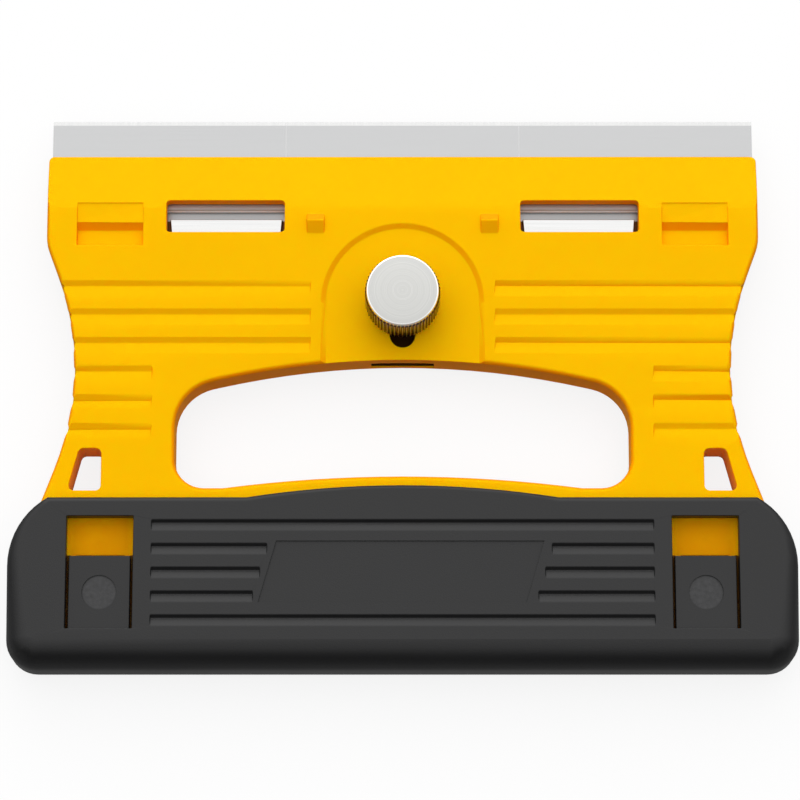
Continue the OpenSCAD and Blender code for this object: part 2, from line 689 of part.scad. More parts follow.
module blade(place) color(steel) placed() translate([place * blade_pitch, 0, 0]) difference() {
    along_x(-blade_w / 2, blade_w / 2, [
        [tip_y, blade_z + blade_t / 2], [tip_y - blade_bevel, blade_z + blade_t],
        [blade_back_y, blade_z + blade_t], [blade_back_y, blade_z], [tip_y - blade_bevel, blade_z]]);
    for (side = [-1, 1]) translate([side * pin_x, pin_y, 0])
        cylinder(d = pin_d + 2 * pin_gap, h = body_t);
}
module left_blade() blade(-1);
module middle_blade() blade(0);
module right_blade() blade(1);

module clinch_nut() color(steel) placed() translate([0, knob_y, 0]) difference() {
    union() {
        translate([0, 0, carrier_z]) cylinder(d = nut_shank_d, h = carrier_t);
        translate([0, 0, blade_z]) cylinder(d = nut_d, h = split_z - run_gap - blade_z);
    }
    cylinder(d = stud_d + 2 * stud_gap, h = body_t);
}

module knob_washer() color(steel) placed() translate([0, knob_y, washer_z]) difference() {
    cylinder(d = washer_d, h = washer_t);
    translate([0, 0, -over]) cylinder(d = stud_d + 2 * stud_gap, h = washer_t + 2 * over);
}

module knob() color(bright) placed() translate([0, knob_y, knob_z]) difference() {
    intersection() {
        linear_extrude(knob_h) polygon([for (i = [0:2 * knurl_count - 1])
            let (r = knob_od / 2 - (i % 2) * knurl_depth, a = 180 * i / knurl_count) r * [cos(a), sin(a)]]);
        rotate_extrude($fn = 96) polygon([
            [0, 0], [knob_od / 2 - knob_chamfer, 0], [knob_od / 2 + over, knob_chamfer + over],
            [knob_od / 2 + over, knob_h - knob_chamfer - over],
            [knob_od / 2 - knob_chamfer, knob_h], [0, knob_h]]);
    }
    translate([0, 0, -over]) cylinder(d = stud_d, h = stud_in_knob + over);
}

module knob_stud() color(steel) placed() translate([0, knob_y, carrier_z])
    cylinder(d = stud_d, h = knob_z + stud_in_knob - carrier_z);

// Cover outline with its arched mouth, from the end of the right side round to the left
function mouth(x) = mouth_y + mouth_rise * (1 - pow(x / mouth_rise_half, 2));
cover_right = concat(
    corner([0, cover_end_y], [cover_w / 2, cover_end_y], [cover_w / 2, mouth_y], cover_end_r),
    [let (n = arc_parts(cover_corner_r, cover_corner_a)) for (i = [0:n]) let (a = cover_corner_a * i / n)
        [cover_w / 2 - cover_corner_r, cover_corner_y] + cover_corner_r * [cos(a), sin(a)]],
    [for (i = [arch_steps:-1:1]) let (x = mouth_rise_half * i / arch_steps) [x, mouth(x)]]);
cover_outline = concat([[0, cover_end_y]], cover_right, [[0, mouth(0)]],
    [for (p = mirrored(cover_right)) flat(p)]);
function edge_share(p) = (mouth(0) - p[1]) / (mouth(0) - cover_end_y);
function cover_edges(end_r) = let (r = min(end_r, cover_end_r - cover_gap))
    [for (p = cover_outline) mouth_edge_r + (r - mouth_edge_r) * edge_share(p)];

module snap_finger() {
    translate([finger_x - finger_w / 2, finger_root_y - finger_root, body_t + cover_gap])
        cube([finger_w, finger_len + finger_root, cover_wall - finger_drop]);
    translate([finger_x - finger_w / 2 + hook_side, 0, 0])
        along_x(0, hook_w, [
            [finger_top_y, body_t + cover_gap], [finger_top_y - hook_len, body_t + cover_gap],
            [finger_top_y - hook_len, body_t - hook_h + cover_gap],
            [finger_top_y - hook_len / 2, body_t - hook_h + cover_gap]]);
}

// Five rows of grooves, of which the middle three leave room for a bare slanted panel
cover_groove_ys = [for (i = [0:4]) mouth_y - cover_groove_in - i * cover_groove_pitch];
cover_groove_half = finger_x - finger_w / 2 - finger_gap - cover_groove_side;
panel_low_y = cover_groove_ys[3] - cover_groove_ramp;
panel_high_y = cover_groove_ys[1] + panel_rim;
function panel_lean(y) = (y - cover_groove_ys[2]) * tan(panel_angle);
function panel_side(y, side) = panel_lean(y) + side * panel_w / 2;
module cover_groove(x0, x1, y)
    groove(x0, x1, y, cover_high, cover_groove_depth, cover_groove_wall, cover_groove_ramp);
module cover_grooves() {
    for (i = [0, 4]) cover_groove(-cover_groove_half, cover_groove_half, cover_groove_ys[i]);
    for (i = [1:3]) {
        y = cover_groove_ys[i];
        cover_groove(-cover_groove_half, panel_side(y, -1) - panel_gap, y);
        cover_groove(panel_side(y, 1) + panel_gap, cover_groove_half, y);
    }
    translate([0, 0, cover_high - panel_depth]) linear_extrude(over) polygon([
        [panel_side(panel_low_y, -1), panel_low_y], [panel_side(panel_low_y, 1), panel_low_y],
        [panel_side(panel_high_y, 1), panel_high_y], [panel_side(panel_high_y, -1), panel_high_y]]);
}

module blade_cover() color(black) placed() {
    difference() {
        edged_slab(cover_outline, cover_low, cover_high, cover_edges(palm_back_r), cover_edges(palm_r));
        translate([0, 0, -cover_gap]) linear_extrude(body_t + 2 * cover_gap) polygon(rounded([
            [-bar_w / 2 - cover_gap, bar_end_y - cover_gap, bar_r],
            [bar_w / 2 + cover_gap, bar_end_y - cover_gap, bar_r],
            [bar_w / 2 + cover_gap, mouth_y + 2 * mouth_rise, 0],
            [-bar_w / 2 - cover_gap, mouth_y + 2 * mouth_rise, 0]]));
        both_sides() translate([finger_x - finger_w / 2 - finger_gap, finger_root_y, body_t])
            cube([finger_w + 2 * finger_gap, finger_len + finger_open, cover_wall + over]);
        cover_grooves();
    }
    both_sides() difference() {
        snap_finger();
        translate([finger_x, finger_top_y - finger_len / 2, cover_high - finger_drop - dish_depth])
            cylinder(d = dish_d, h = over);
    }
}

front_shell();
rear_shell();
shell_screws();
blade_carrier();
carrier_pins();
pressure_bar();
left_blade();
middle_blade();
right_blade();
clinch_nut();
knob_washer();
knob();
knob_stud();
blade_cover();
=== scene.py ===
# Wide razor scraper with three blades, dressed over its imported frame.
import json
import math
from collections import namedtuple

import bpy
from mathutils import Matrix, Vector

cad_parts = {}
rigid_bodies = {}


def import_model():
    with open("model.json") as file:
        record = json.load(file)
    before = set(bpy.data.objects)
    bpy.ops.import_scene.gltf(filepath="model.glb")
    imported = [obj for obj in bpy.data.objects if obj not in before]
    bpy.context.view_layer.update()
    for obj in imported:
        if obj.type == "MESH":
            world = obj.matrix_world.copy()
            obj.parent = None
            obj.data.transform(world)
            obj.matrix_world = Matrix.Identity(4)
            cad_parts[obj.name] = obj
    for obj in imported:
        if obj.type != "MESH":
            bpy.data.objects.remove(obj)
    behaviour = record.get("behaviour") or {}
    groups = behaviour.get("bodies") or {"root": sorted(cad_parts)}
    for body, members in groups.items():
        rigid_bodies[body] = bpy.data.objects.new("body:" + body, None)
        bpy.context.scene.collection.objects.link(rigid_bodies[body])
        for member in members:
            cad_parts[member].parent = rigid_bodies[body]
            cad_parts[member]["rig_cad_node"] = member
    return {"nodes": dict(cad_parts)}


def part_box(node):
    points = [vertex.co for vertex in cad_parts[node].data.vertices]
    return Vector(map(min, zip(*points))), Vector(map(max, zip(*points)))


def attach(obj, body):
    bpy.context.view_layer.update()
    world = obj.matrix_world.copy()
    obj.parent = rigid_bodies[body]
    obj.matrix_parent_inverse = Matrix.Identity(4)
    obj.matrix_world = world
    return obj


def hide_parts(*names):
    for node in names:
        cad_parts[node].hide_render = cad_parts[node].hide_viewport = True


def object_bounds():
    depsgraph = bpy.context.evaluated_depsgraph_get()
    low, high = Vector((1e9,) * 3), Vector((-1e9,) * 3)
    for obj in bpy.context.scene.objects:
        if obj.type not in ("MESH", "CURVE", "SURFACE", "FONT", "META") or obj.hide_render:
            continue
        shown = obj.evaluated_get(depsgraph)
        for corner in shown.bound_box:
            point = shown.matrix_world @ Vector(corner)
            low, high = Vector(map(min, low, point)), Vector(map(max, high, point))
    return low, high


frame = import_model()
cad_low, cad_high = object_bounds()

# Camera
# The tool is seen from above, tilted a little towards the palm rest, through a long lens.
view_tilt = math.radians(13)
view_distance = 0.600
view_target = Vector((-0.00043, -0.00145, 0.006))
focal_length = 159.8
sensor_width = 36
view_back = Vector((0, -math.sin(view_tilt), math.cos(view_tilt)))
bpy.ops.object.camera_add(location=view_target + view_distance * view_back)
camera = bpy.context.object
camera.rotation_euler = view_back.to_track_quat("Z", "Y").to_euler()
camera.data.lens = focal_length
camera.data.sensor_width = sensor_width
bpy.context.scene.camera = camera
bpy.context.scene.view_settings.view_transform = "Standard"

# Studio
# A pale table that shows white to the camera and still takes the tool's shadow, an overcast sky
# that is brightest beyond the blades, and one large soft lamp on that side.
floor_size = 6.0
floor_gap = 0.0001
table_pale = (0.95, 0.95, 0.95, 1)
table_dark = (0.3, 0.3, 0.3, 1)
table_shadow = 0.15
table_mirrored = 0.3
white = (1, 1, 1, 1)
white_glow = 1.0
sky_tilt = math.radians(35)
sky_low = 0.04
sky_high = 1.66
key_place = (-0.1, 1.15, 0.5)
key_size = 1.0
key_watts = 3.4


class Wire:
    """The output of a node in one material, so that shader maths is written as an expression."""

    def __init__(self, tree, socket=None):
        self.tree = tree
        self.socket = socket

    def node(self, kind, settings=None, sockets=None, out=0):
        made = self.tree.nodes.new("ShaderNode" + kind)
        for name, value in (settings or {}).items():
            setattr(made, name, value)
        for name, value in (sockets or {}).items():
            if isinstance(value, Wire):
                self.tree.links.new(value.socket, made.inputs[name])
            else:
                made.inputs[name].default_value = value
        return Wire(self.tree, made.outputs[out] if made.outputs else None)

    def math(self, operation, first, second=0.0):
        return self.node("Math", {"operation": operation}, {0: first, 1: second})

    def vector(self, operation, second=(0, 0, 0), out=0):
        return self.node("VectorMath", {"operation": operation}, {0: self, 1: second}, out)

    def parts(self):
        split = self.node("SeparateXYZ", sockets={0: self}).socket.node
        return [Wire(self.tree, part) for part in split.outputs]

    def ramp(self, start, end):
        """Nothing at the start, one at the end and held beyond them."""
        return self.node("MapRange", sockets={"Value": self, "From Min": start, "From Max": end})

    def mix(self, share, first, second):
        return self.node("Mix", {"data_type": "RGBA"}, {0: share, 6: first, 7: second}, out=2)

    def noise(self, scale, detail):
        return self.node("TexNoise", sockets={"Vector": self, "Scale": scale, "Detail": detail})

    def stretch(self, scale):
        return self.node("Mapping", sockets={"Vector": self, "Scale": scale})

    def feed(self, socket):
        self.tree.links.new(self.socket, socket)

    def __add__(self, other):
        return self.math("ADD", self, other)

    def __radd__(self, other):
        return self.math("ADD", other, self)

    def __sub__(self, other):
        return self.math("SUBTRACT", self, other)

    def __rsub__(self, other):
        return self.math("SUBTRACT", other, self)

    def __mul__(self, other):
        return self.math("MULTIPLY", self, other)

    def __rmul__(self, other):
        return self.math("MULTIPLY", other, self)


bpy.ops.object.select_all(action="DESELECT")
bpy.ops.mesh.primitive_plane_add(size=floor_size, location=(0, 0, cad_low.z - floor_gap))
floor = bpy.context.object
floor.name = "floor"
floor_material = bpy.data.materials.new("pale_table")
floor_material.use_nodes = True
floor_material.node_tree.nodes.clear()
wire = Wire(floor_material.node_tree)
direct = wire.math("MAXIMUM", wire.node("LightPath", out="Is Camera Ray"),
                   wire.node("LightPath", out="Is Transmission Ray"))
pale = wire.node("BsdfDiffuse", sockets={"Color": table_pale})
dark = wire.node("BsdfDiffuse", sockets={"Color": table_dark})
glow = wire.node("Emission", sockets={"Strength": white_glow})
mirrored = wire.node("Emission", sockets={"Strength": table_mirrored})
shown = wire.node("MixShader", sockets={0: table_shadow, 1: glow, 2: pale})
unseen = wire.node("MixShader", sockets={0: wire.node("LightPath", out="Is Glossy Ray"),
                                         1: dark, 2: mirrored})
table = wire.node("MixShader", sockets={0: direct, 1: unseen, 2: shown})
wire.node("OutputMaterial", sockets={"Surface": table})
floor.data.materials.append(floor_material)

world = bpy.data.worlds.new("studio")
bpy.context.scene.world = world
world.use_nodes = True
world.node_tree.nodes.clear()
wire = Wire(world.node_tree)
bright_side = (0, math.sin(sky_tilt), math.cos(sky_tilt))
height = wire.node("TexCoord", out="Generated").vector("DOT_PRODUCT", bright_side, "Value")
sky_strength = sky_low + sky_high * wire.math("MAXIMUM", height)
sky = wire.node("Background", sockets={"Color": white, "Strength": sky_strength})
backdrop = wire.node("Background", sockets={"Color": white, "Strength": white_glow})
surround = wire.node("MixShader", sockets={0: wire.node("LightPath", out="Is Camera Ray"),
                                           1: sky, 2: backdrop})
wire.node("OutputWorld", sockets={"Surface": surround})

bpy.ops.object.light_add(type="AREA", location=key_place)
key_lamp = bpy.context.object
key_lamp.name = "key_lamp"
key_lamp.data.size = key_size
key_lamp.data.energy = key_watts
key_lamp.rotation_euler = Vector(key_place).to_track_quat("Z", "Y").to_euler()

# Shells
# The two halves of the body, injection moulded in yellow plastic with a fine satin grain and
# screwed together from the back. Each is its solid with the sharp edges broken by the mould. Its
# walls are painted a deeper orange than its faces, as painted shade, and painted shade also
# darkens the grip bar under the cover's finger windows, the gaps beside the fingers and the inside
# of the knob's slot.
yellow = (1.0, 0.53, 0.0008, 1)
yellow_painted_shade = (1.0, 0.34, 0.0004, 1)
yellow_tint = (1.0, 0.7, 0.04, 1)
yellow_rough = 0.55
yellow_gloss = 0.08
yellow_grain = 0.16
inside_share = 0.5
inside_reach = (1.0, 0.3, 0.05)
inside_depth = 0.0008
face_upright = 0.975
wall_upright = 0.8
window_shade = (0.68, 0.28, 0.001, 1)
window_shade_middle = (0.05025, -0.032, 0.0094)
window_shade_half = (0.0068, 0.011, 0.003)
window_shade_fade = 0.0025
window_shade_least = 0.75
window_shade_swing = 0.5
window_shade_scale = 220.0
recess_shade = (0.05, 0.017, 0.008, 1)
recess_shade_fade = 0.0001
finger_middle = (0.05025, -0.0353, 0.0094)
finger_outside = (0.0059, 0.0066, 0.001)
finger_inside = (0.005, 0.01, 0.002)
finger_gap_shade = 0.95
slot_middle = (0, 0.009, 0.006)
slot_half = (0.0065, 0.00413, 0.0026)
slot_shade = 0.97
grain_scale = 4200.0
grain_height = 0.00006
flow_scale = 60.0
flow_dark = 0.94
flow_rough = 0.08
shell_edge = 0.00015
shell_crease = 20
parting_height = 0.0067
parting_gap = 0.0001
cavity_floor = 0.0045

# Limits for rounding edges, with lengths of edges and widths of faces in radii of the round
merge_gap = 2e-6
plane_gap = 3e-6
round_steps = 3
least_length = 3
least_width = 4
least_corner = 1.3
flat_limit = math.cos(math.radians(1))
flat_area = 1e-5
narrow_flat = 0.0005
wide_flat = 0.0012
wall_flat = 0.00012
wall_bend = math.radians(20)
smooth_angle = math.radians(32)

Flat = namedtuple("Flat", "area normal offset corners")


def flats_of(mesh):
    """The faces at each edge, the flat that each face is in, and the flats."""
    faces_at = {}
    for face in mesh.polygons:
        for key in face.edge_keys:
            faces_at.setdefault(key, []).append(face.index)
    flat_of = {}
    flats = []
    for first in mesh.polygons:
        if first.index in flat_of:
            continue
        area, corners, waiting = 0, set(), [first]
        flat_of[first.index] = len(flats)
        while waiting:
            face = waiting.pop()
            area += face.area
            corners.update(face.vertices)
            for key in face.edge_keys:
                for other in (mesh.polygons[index] for index in faces_at[key]):
                    if other.index not in flat_of and other.normal.dot(first.normal) > flat_limit:
                        flat_of[other.index] = len(flats)
                        waiting.append(other)
        flats.append(Flat(area, first.normal.copy(), first.normal.dot(first.center), corners))
    return faces_at, flat_of, flats


def softened(node, name, body, edge_r, crease, zone=(-1, 1)):
    """A copy of a solid, merged, with its long sharp edges rounded.

    Edges that are short, beside a narrow face or outside the zone of heights stay sharp, because
    their rounds would fold over. Each large flat is then filled again from its new outline, and
    the flats lead the shading of the rounds between them.
    """
    bpy.ops.object.select_all(action="DESELECT")
    piece = frame["nodes"][node].copy()
    piece.data = piece.data.copy()
    piece.parent = None
    piece.name = name
    del piece["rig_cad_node"]
    bpy.context.scene.collection.objects.link(piece)
    piece.select_set(True)
    bpy.context.view_layer.objects.active = piece
    mesh = piece.data
    mesh.materials.clear()
    bpy.ops.object.mode_set(mode="EDIT")
    bpy.ops.mesh.select_mode(type="EDGE")
    bpy.ops.mesh.select_all(action="SELECT")
    bpy.ops.mesh.remove_doubles(threshold=merge_gap)
    bpy.ops.mesh.select_all(action="DESELECT")
    bpy.ops.mesh.edges_select_sharp(sharpness=math.radians(crease))
    bpy.ops.object.mode_set(mode="OBJECT")

    # The edges to round
    faces_at, flat_of, flats = flats_of(mesh)
    ends = {edge.index: [mesh.vertices[i].co for i in edge.vertices]
            for edge in mesh.edges if edge.select}
    shortest = {}
    for index, (start, end) in ends.items():
        for corner in mesh.edges[index].vertices:
            shortest[corner] = min(shortest.get(corner, 1), (end - start).length)
    for index, (start, end) in ends.items():
        edge = mesh.edges[index]
        along = (end - start).normalized()
        width = min(max((mesh.vertices[i].co - start).cross(along).length
                        for i in flats[flat_of[face]].corners)
                    for face in faces_at[edge.key])
        edge.select = ((end - start).length > least_length * edge_r and width > least_width * edge_r
                       and min(shortest[i] for i in edge.vertices) > least_corner * edge_r
                       and zone[0] < min(start.z, end.z) and max(start.z, end.z) < zone[1])
    bpy.ops.object.mode_set(mode="EDIT")
    bpy.ops.mesh.bevel(offset=edge_r, offset_type="OFFSET", segments=round_steps, profile=0.5,
                       clamp_overlap=False, loop_slide=False, miter_outer="ARC")

    # The large flats, filled again
    for flat in flats:
        if flat.area < flat_area:
            continue
        bpy.ops.mesh.select_mode(type="FACE")
        bpy.ops.mesh.select_all(action="DESELECT")
        bpy.ops.object.mode_set(mode="OBJECT")
        for face in mesh.polygons:
            face.select = all(abs(flat.normal.dot(mesh.vertices[i].co) - flat.offset) < plane_gap
                              for i in face.vertices)
        found = any(face.select for face in mesh.polygons)
        bpy.ops.object.mode_set(mode="EDIT")
        if found:
            bpy.ops.mesh.delete(type="FACE")
            bpy.ops.mesh.select_mode(type="EDGE")
            bpy.ops.mesh.select_all(action="DESELECT")
            bpy.ops.mesh.select_non_manifold(extend=False, use_wire=False, use_multi_face=False,
                                             use_non_contiguous=False, use_verts=False)
            bpy.ops.mesh.fill(use_beauty=True)
    bpy.ops.mesh.select_mode(type="FACE")
    bpy.ops.mesh.select_all(action="SELECT")
    bpy.ops.mesh.normals_make_consistent(inside=False)
    bpy.ops.object.mode_set(mode="OBJECT")
    bpy.ops.object.shade_smooth_by_angle(angle=smooth_angle)

    # The shading, led by the widest flats, with crisp edges between flats and walls
    faces_at, flat_of, flats = flats_of(mesh)
    spans = []
    for flat in flats:
        places = [mesh.vertices[i].co for i in flat.corners]
        spans.append(flat.area / max((place - places[0]).length for place in places))
    bpy.ops.object.mode_set(mode="EDIT")
    bpy.ops.mesh.mod_weighted_strength(set=True, face_strength="WEAK")
    for strength, span in (("MEDIUM", narrow_flat), ("STRONG", wide_flat)):
        bpy.ops.mesh.select_all(action="DESELECT")
        bpy.ops.object.mode_set(mode="OBJECT")
        for face in mesh.polygons:
            face.select = spans[flat_of[face.index]] > span
        bpy.ops.object.mode_set(mode="EDIT")
        bpy.ops.mesh.mod_weighted_strength(set=True, face_strength=strength)
    bpy.ops.object.mode_set(mode="OBJECT")
    for edge in mesh.edges:
        sides = list({flat_of[face] for face in faces_at[edge.key]})
        if len(sides) == 2:
            narrower = min(spans[side] for side in sides)
            bend = flats[sides[0]].normal.angle(flats[sides[1]].normal, 0)
            if narrower > wide_flat or narrower > wall_flat and bend > wall_bend:
                edge.use_edge_sharp = True
    weighted = piece.modifiers.new("flat_faces", "WEIGHTED_NORMAL")
    weighted.keep_sharp = True
    weighted.use_face_influence = True
    bpy.ops.object.modifier_apply(modifier=weighted.name)
    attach(piece, body)
    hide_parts(node)
    return piece


def new_material(name):
    material = bpy.data.materials.new(name)
    material.use_nodes = True
    tree = material.node_tree
    return material, Wire(tree), tree.nodes["Principled BSDF"]


def within(place, middle, half, fade):
    """One inside a box round the middle and nothing outside it, with a soft border."""
    mask = 1.0
    from_middle = place.vector("SUBTRACT", middle).vector("ABSOLUTE")
    for side, reach in zip(from_middle.parts(), half):
        mask = mask * side.ramp(reach, reach - fade)
    return mask


def moulded_plastic(name, colour, roughness, gloss, tint, grain_depth):
    """Satin moulded plastic: an even fine grain with slow changes of tone from the melt's flow."""
    material, wire, shader = new_material(name)
    place = wire.node("TexCoord", out="Object")
    grain = place.noise(grain_scale, detail=1.5)
    flow = place.noise(flow_scale, detail=3.0)
    deep = tuple(flow_dark * c for c in colour[:3]) + (1,)
    tone = wire.mix(flow, deep, colour)
    bump = wire.node("Bump", sockets={"Strength": grain_depth, "Distance": grain_height,
                                      "Height": grain})
    (roughness - flow_rough / 2 + flow_rough * flow).feed(shader.inputs["Roughness"])
    bump.feed(shader.inputs["Normal"])
    shader.inputs["Specular IOR Level"].default_value = gloss
    shader.inputs["Specular Tint"].default_value = tint
    return material, wire, shader, tone


yellow_plastic, wire, shader, tone = moulded_plastic(
    "yellow_plastic", yellow, yellow_rough, yellow_gloss, yellow_tint, yellow_grain)
shader.inputs["Subsurface Weight"].default_value = inside_share
shader.inputs["Subsurface Radius"].default_value = inside_reach
shader.inputs["Subsurface Scale"].default_value = inside_depth
# Painted shade: the further a face leans from flat, the deeper the orange it is painted.
upright = wire.math("ABSOLUTE", wire.node("TexCoord", out="Normal").parts()[2])
tone = wire.mix(upright.ramp(face_upright, wall_upright), tone, yellow_painted_shade)
place = wire.node("TexCoord", out="Object")
x, y, z = place.parts()
half_place = wire.node("CombineXYZ", sockets={0: wire.math("ABSOLUTE", x), 1: y, 2: z})
# Painted shade, of uneven strength, on the grip bar under the cover's finger windows.
window_shade_noise = place.noise(window_shade_scale, detail=3.0)
window_shade_mask = within(half_place, window_shade_middle, window_shade_half, window_shade_fade) * (window_shade_least + window_shade_swing * window_shade_noise)
tone = wire.mix(window_shade_mask, tone, window_shade)
# Painted shade, nearly black, in the gaps beside the cover's fingers and inside the knob's slot.
streak = (within(half_place, finger_middle, finger_outside, recess_shade_fade)
          * (1 - within(half_place, finger_middle, finger_inside, recess_shade_fade)))
in_slot = within(place, slot_middle, slot_half, recess_shade_fade)
recess_shade_mask = wire.math("MAXIMUM", finger_gap_shade * streak, slot_shade * in_slot)
wire.mix(recess_shade_mask, tone, recess_shade).feed(shader.inputs["Base Color"])
rear_shell = softened("rear_shell", "rear_shell_moulding", "body",
                      shell_edge, shell_crease, (-1, cavity_floor))
front_shell = softened("front_shell", "front_shell_moulding", "body",
                       shell_edge, shell_crease, (parting_height + parting_gap, 1))
for shell in (rear_shell, front_shell):
    shell.data.materials.append(yellow_plastic)

# Blade carrier
# A stamped steel plate, dull as rolled, with two raised pads that show in the windows. The pads
# are polished bright by the front shell sliding over them, and the plate behind their front edge is
# painted dark brown as painted shade.
polished = (0.64, 0.64, 0.635, 1)
plate_dull = (0.3, 0.3, 0.3, 1)
plate_painted_shade = (0.08, 0.03, 0.012, 1)
plate_rough = 0.32
pad_smoother = 0.18
pad_streak = 0.22
pad_top = 0.00625
pad_front = 0.0301
pad_fade = 0.0001
roll_scale = (60, 9000, 9000)
roll_bump = 0.05
roll_height = 0.00002
roll_rough = 0.1
carrier_edge = 0.00012
sheet_crease = 30


def rolled_sheet(name, colour, streak):
    """Bright sheet steel with fine rolling lines along X."""
    material, wire, shader = new_material(name)
    lines = wire.node("TexCoord", out="Object").stretch(roll_scale).noise(1.0, detail=2.0)
    dull = tuple((1 - streak) * c for c in colour[:3]) + (1,)
    tone = wire.mix(lines, dull, colour)
    bump = wire.node("Bump", sockets={"Strength": roll_bump, "Distance": roll_height,
                                      "Height": lines})
    bump.feed(shader.inputs["Normal"])
    shader.inputs["Metallic"].default_value = 1.0
    return material, wire, shader, tone, lines


polished_steel, wire, shader, tone, _ = rolled_sheet("polished_steel", polished, pad_streak)
y, z = wire.node("TexCoord", out="Object").parts()[1:]
on_pad = z.ramp(pad_top - 2 * pad_fade, pad_top - pad_fade)
# Painted shade, dark brown, on the plate behind the pads' front edge.
plate_tone = wire.mix(y.ramp(pad_front, pad_front - pad_fade), plate_dull, plate_painted_shade)
wire.mix(on_pad, plate_tone, tone).feed(shader.inputs["Base Color"])
(plate_rough - pad_smoother * on_pad).feed(shader.inputs["Roughness"])
carrier = softened("blade_carrier", "carrier_plate", "carriage",
                   carrier_edge, sheet_crease)
carrier.data.materials.append(polished_steel)

# Carrier pins and clinch nut
# Turned steel, pressed into the carrier, with zinc plating that is faintly clouded. The pins hold
# the blades by their holes, and the nut takes the knob's stud.
zinc = (0.62, 0.62, 0.6, 1)
zinc_dark = (0.496, 0.496, 0.48, 1)
zinc_rough = 0.24
cloud_rough = 0.2
cloud_scale = 500.0


def coat(node, material):
    """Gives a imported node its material."""
    mesh = frame["nodes"][node].data
    mesh.materials.clear()
    mesh.materials.append(material)


zinc_steel, wire, shader = new_material("zinc_steel")
clouds = wire.node("TexCoord", out="Object").noise(cloud_scale, detail=4.0)
wire.mix(clouds, zinc_dark, zinc).feed(shader.inputs["Base Color"])
(zinc_rough + cloud_rough * clouds).feed(shader.inputs["Roughness"])
shader.inputs["Metallic"].default_value = 1.0
coat("carrier_pins", zinc_steel)
coat("clinch_nut", zinc_steel)

# Blades
# Three single-edge blades of ground strip steel, held by the pins. The edge has a bright bevel
# with grinding marks across it.
blade_grey = (0.42, 0.422, 0.424, 1)
blade_streak = 0.08
blade_rough = 0.16
bevel_bright = (0.56, 0.56, 0.55, 1)
bevel_width = 0.0007
bevel_start = cad_high.y - bevel_width
bevel_fade = 0.00004
mark_scale = (7000, 150, 150)
blade_steel, wire, shader, tone, lines = rolled_sheet("blade_steel", blade_grey, blade_streak)
place = wire.node("TexCoord", out="Object")
y = place.parts()[1]
marks = place.stretch(mark_scale).noise(1.0, detail=2.0)
bevel_tone = wire.mix(marks, blade_grey, bevel_bright)
ground = y.ramp(bevel_start - bevel_fade, bevel_start + bevel_fade)
wire.mix(ground, tone, bevel_tone).feed(shader.inputs["Base Color"])
(blade_rough + roll_rough * lines).feed(shader.inputs["Roughness"])
for node in ("left_blade", "middle_blade", "right_blade"):
    coat(node, blade_steel)

# Pressure bar
# A steel strip over the blades, with grey mill scale left on its rear chamfer and a painted
# highlight, bluish white, along the lowest edge of that chamfer.
bar_grey = (0.46, 0.46, 0.46, 1)
bar_scale = (0.34, 0.34, 0.33, 1)
bar_painted_highlight = (0.82, 0.92, 1.0, 1)
bar_streak = 0.2
bar_rough = 0.3
bar_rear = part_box("pressure_bar")[0].y
bar_chamfer = 0.0004
highlight_width = 0.0001
bar_fade = 0.00006
bar_edge = 0.00008
bar_steel, wire, shader, tone, lines = rolled_sheet("bar_steel", bar_grey, bar_streak)
y = wire.node("TexCoord", out="Object").parts()[1]
on_chamfer = y.ramp(bar_rear + bar_chamfer + bar_fade, bar_rear + bar_chamfer)
# A painted highlight along the rear chamfer's lowest edge.
on_highlight = y.ramp(bar_rear + highlight_width + bar_fade, bar_rear + highlight_width)
rear_tone = wire.mix(on_highlight, bar_scale, bar_painted_highlight)
wire.mix(on_chamfer, tone, rear_tone).feed(shader.inputs["Base Color"])
(bar_rough + roll_rough * lines).feed(shader.inputs["Roughness"])
(1 - on_chamfer).feed(shader.inputs["Metallic"])
pressure_bar = softened("pressure_bar", "pressure_strip", "carriage",
                        bar_edge, sheet_crease)
pressure_bar.data.materials.append(bar_steel)

# Shell screws
# Eight cross-head screws of zinc-plated steel, sunk in the back of the rear shell. They hold the
# two shells together.
screw_edge = 0.0002
turned_crease = 40
screws = softened("shell_screws", "shell_screw_heads", "body",
                  screw_edge, turned_crease)
screws.data.materials.append(zinc_steel)

# Stud and washer
# Turned steel with zinc plating. The stud is fixed in the knob and passes through the slot to the
# clinch nut, and the plain washer lies under the knob.
washer_edge = 0.0001
washer = softened("knob_washer", "washer_disc", "knob", washer_edge, turned_crease)
washer.data.materials.append(zinc_steel)
coat("knob_stud", zinc_steel)

# Knob
# Turned from bright metal: a straight knurl below a smooth band, and a face with turning rings.
# The knurl is painted nearly black between its crests, as painted shade.
knob_bright = (0.95, 0.945, 0.92, 1)
knob_dull = (0.44, 0.44, 0.425, 1)
knurl_painted_shade = (0.1, 0.055, 0.035, 1)
knob_axis = Vector((0, 0.0148, 0))
knob_foot_z = 0.00975
knob_foot_r = 0.0059
knurl_teeth = 60
knurl_r = 0.00635
knurl_depth = 0.0003
knurl_low = 0.0004
knurl_high = 0.0066
crest_height = 0.0001
point_gap = 1e-6
band_r = 0.00605
band_low = 0.0069
band_high = 0.00738
band_fade = (0.00001, 0.00004)
face_z = 0.0076
face_fade = (0.0002, 0.0003)
centre_r = 0.0004
centre_dip = 0.00004
ring_scale = 9000
ring_bump = 0.25
ring_height = 0.00002
ring_least = 0.55
ring_swing = 0.9
knob_rough = 0.14
face_rough = 0.16
knurl_rough = 0.2
profile = [(knob_foot_r, 0), (knurl_r, knurl_low), (knurl_r, knurl_high), (band_r, band_low),
           (band_r, band_high), (band_r - 0.00006, 0.00751), (band_r - 0.00018, 0.00758),
           (band_r - 0.0003, face_z), (centre_r, face_z - centre_dip)]


def flat_reach(place, axis):
    """The distance of a place from an upright axis."""
    arm = place.vector("SUBTRACT", axis).vector("MULTIPLY", (1, 1, 0))
    return arm.vector("LENGTH", out="Value")


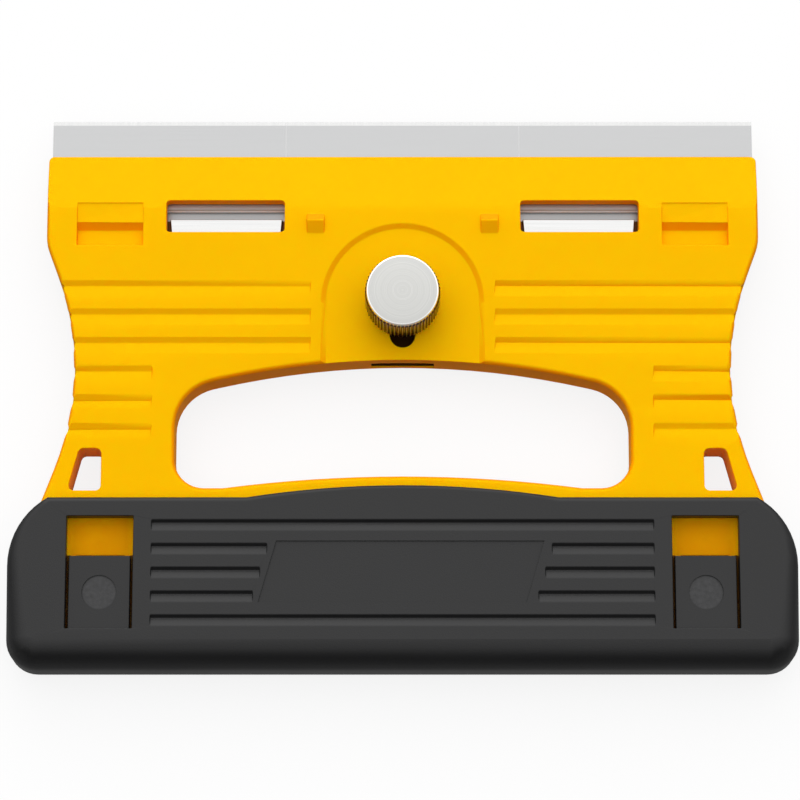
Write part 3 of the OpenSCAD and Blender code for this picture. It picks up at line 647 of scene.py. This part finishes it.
bpy.ops.object.select_all(action="DESELECT")
bpy.ops.mesh.primitive_circle_add(vertices=2 * knurl_teeth, radius=knob_foot_r, fill_type="NGON",
                                  location=knob_axis + Vector((0, 0, knob_foot_z)))
knob = bpy.context.object
knob.name = "knurled_knob"
bpy.ops.object.transform_apply(location=True, rotation=True, scale=True)
bpy.ops.object.mode_set(mode="EDIT")
bpy.ops.mesh.select_all(action="SELECT")
for (low_r, low_z), (ring_r, ring_z) in zip(profile, profile[1:]):
    bpy.ops.mesh.extrude_region_move(TRANSFORM_OT_translate={"value": (0, 0, ring_z - low_z)})
    bpy.ops.transform.resize(value=(ring_r / low_r, ring_r / low_r, 1),
                             center_override=knob_axis + Vector((0, 0, knob_foot_z + ring_z)))
bpy.ops.mesh.select_all(action="DESELECT")
bpy.ops.mesh.select_mode(type="VERT")
bpy.ops.object.mode_set(mode="OBJECT")
for point in knob.data.vertices:
    arm = point.co - knob_axis
    turn = round(math.atan2(arm.y, arm.x) / math.pi * knurl_teeth)
    point.select = turn % 2 == 1 and math.hypot(arm.x, arm.y) > knurl_r - point_gap
bpy.ops.object.mode_set(mode="EDIT")
root_share = 1 - knurl_depth / knurl_r
bpy.ops.transform.resize(value=(root_share, root_share, 1), center_override=knob_axis)
bpy.ops.mesh.select_all(action="SELECT")
bpy.ops.mesh.normals_make_consistent(inside=False)
bpy.ops.object.mode_set(mode="OBJECT")
bpy.ops.object.shade_smooth_by_angle(angle=smooth_angle)
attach(knob, "knob")
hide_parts("knob")
knob_metal, wire, shader = new_material("knob_metal")
radius = flat_reach(wire.node("TexCoord", out="Object"), knob_axis)
rings = wire.node("TexNoise", {"noise_dimensions": "1D"},
                  {"W": ring_scale * radius, "Scale": 1.0, "Detail": 3.0})
on_face = radius.ramp(band_r - face_fade[0], band_r - face_fade[1])
on_knurl = radius.ramp(band_r + band_fade[0], band_r + band_fade[1])
crest = radius.ramp(knurl_r - crest_height, knurl_r)
face_tone = wire.mix(on_face * (ring_least + ring_swing * (1 - rings)), knob_bright, knob_dull)
# Painted shade between the knurl's crests; only the crests keep the bright metal's colour.
knurl_tone = wire.mix(crest * crest, knurl_painted_shade, knob_bright)
wire.mix(on_knurl, face_tone, knurl_tone).feed(shader.inputs["Base Color"])
(knob_rough + face_rough * on_face + knurl_rough * on_knurl).feed(shader.inputs["Roughness"])
bump = wire.node("Bump", sockets={"Strength": ring_bump, "Distance": ring_height,
                                  "Height": rings * on_face})
bump.feed(shader.inputs["Normal"])
shader.inputs["Metallic"].default_value = 1.0
knob.data.materials.append(knob_metal)

# Blade cover
# One black moulding with the same satin grain, pushed over the grip bar. The thumb dishes of its
# two spring fingers have a coarser, scuffed grain.
black = (0.0125, 0.0125, 0.013, 1)
black_rough = 0.42
black_gloss = 0.35
black_grain = 0.3
scuffed = (0.05, 0.05, 0.052, 1)
patch_scale = 1600.0
cover_edge = 0.00015
cover_crease = 22
dish_x = 0.05025
dish_y = -0.03525
dish_r = 0.0029
dish_fade = 0.0003
black_plastic, wire, shader, tone = moulded_plastic(
    "black_plastic", black, black_rough, black_gloss, white, black_grain)
place = wire.node("TexCoord", out="Object")
reach = flat_reach(place.vector("ABSOLUTE"), (dish_x, -dish_y, 0))
patches = place.noise(patch_scale, detail=4.0)
scuffs = reach.ramp(dish_r, dish_r - dish_fade) * patches
wire.mix(scuffs, tone, scuffed).feed(shader.inputs["Base Color"])
cover = softened("blade_cover", "cover_moulding", "cover",
                 cover_edge, cover_crease)
cover.data.materials.append(black_plastic)
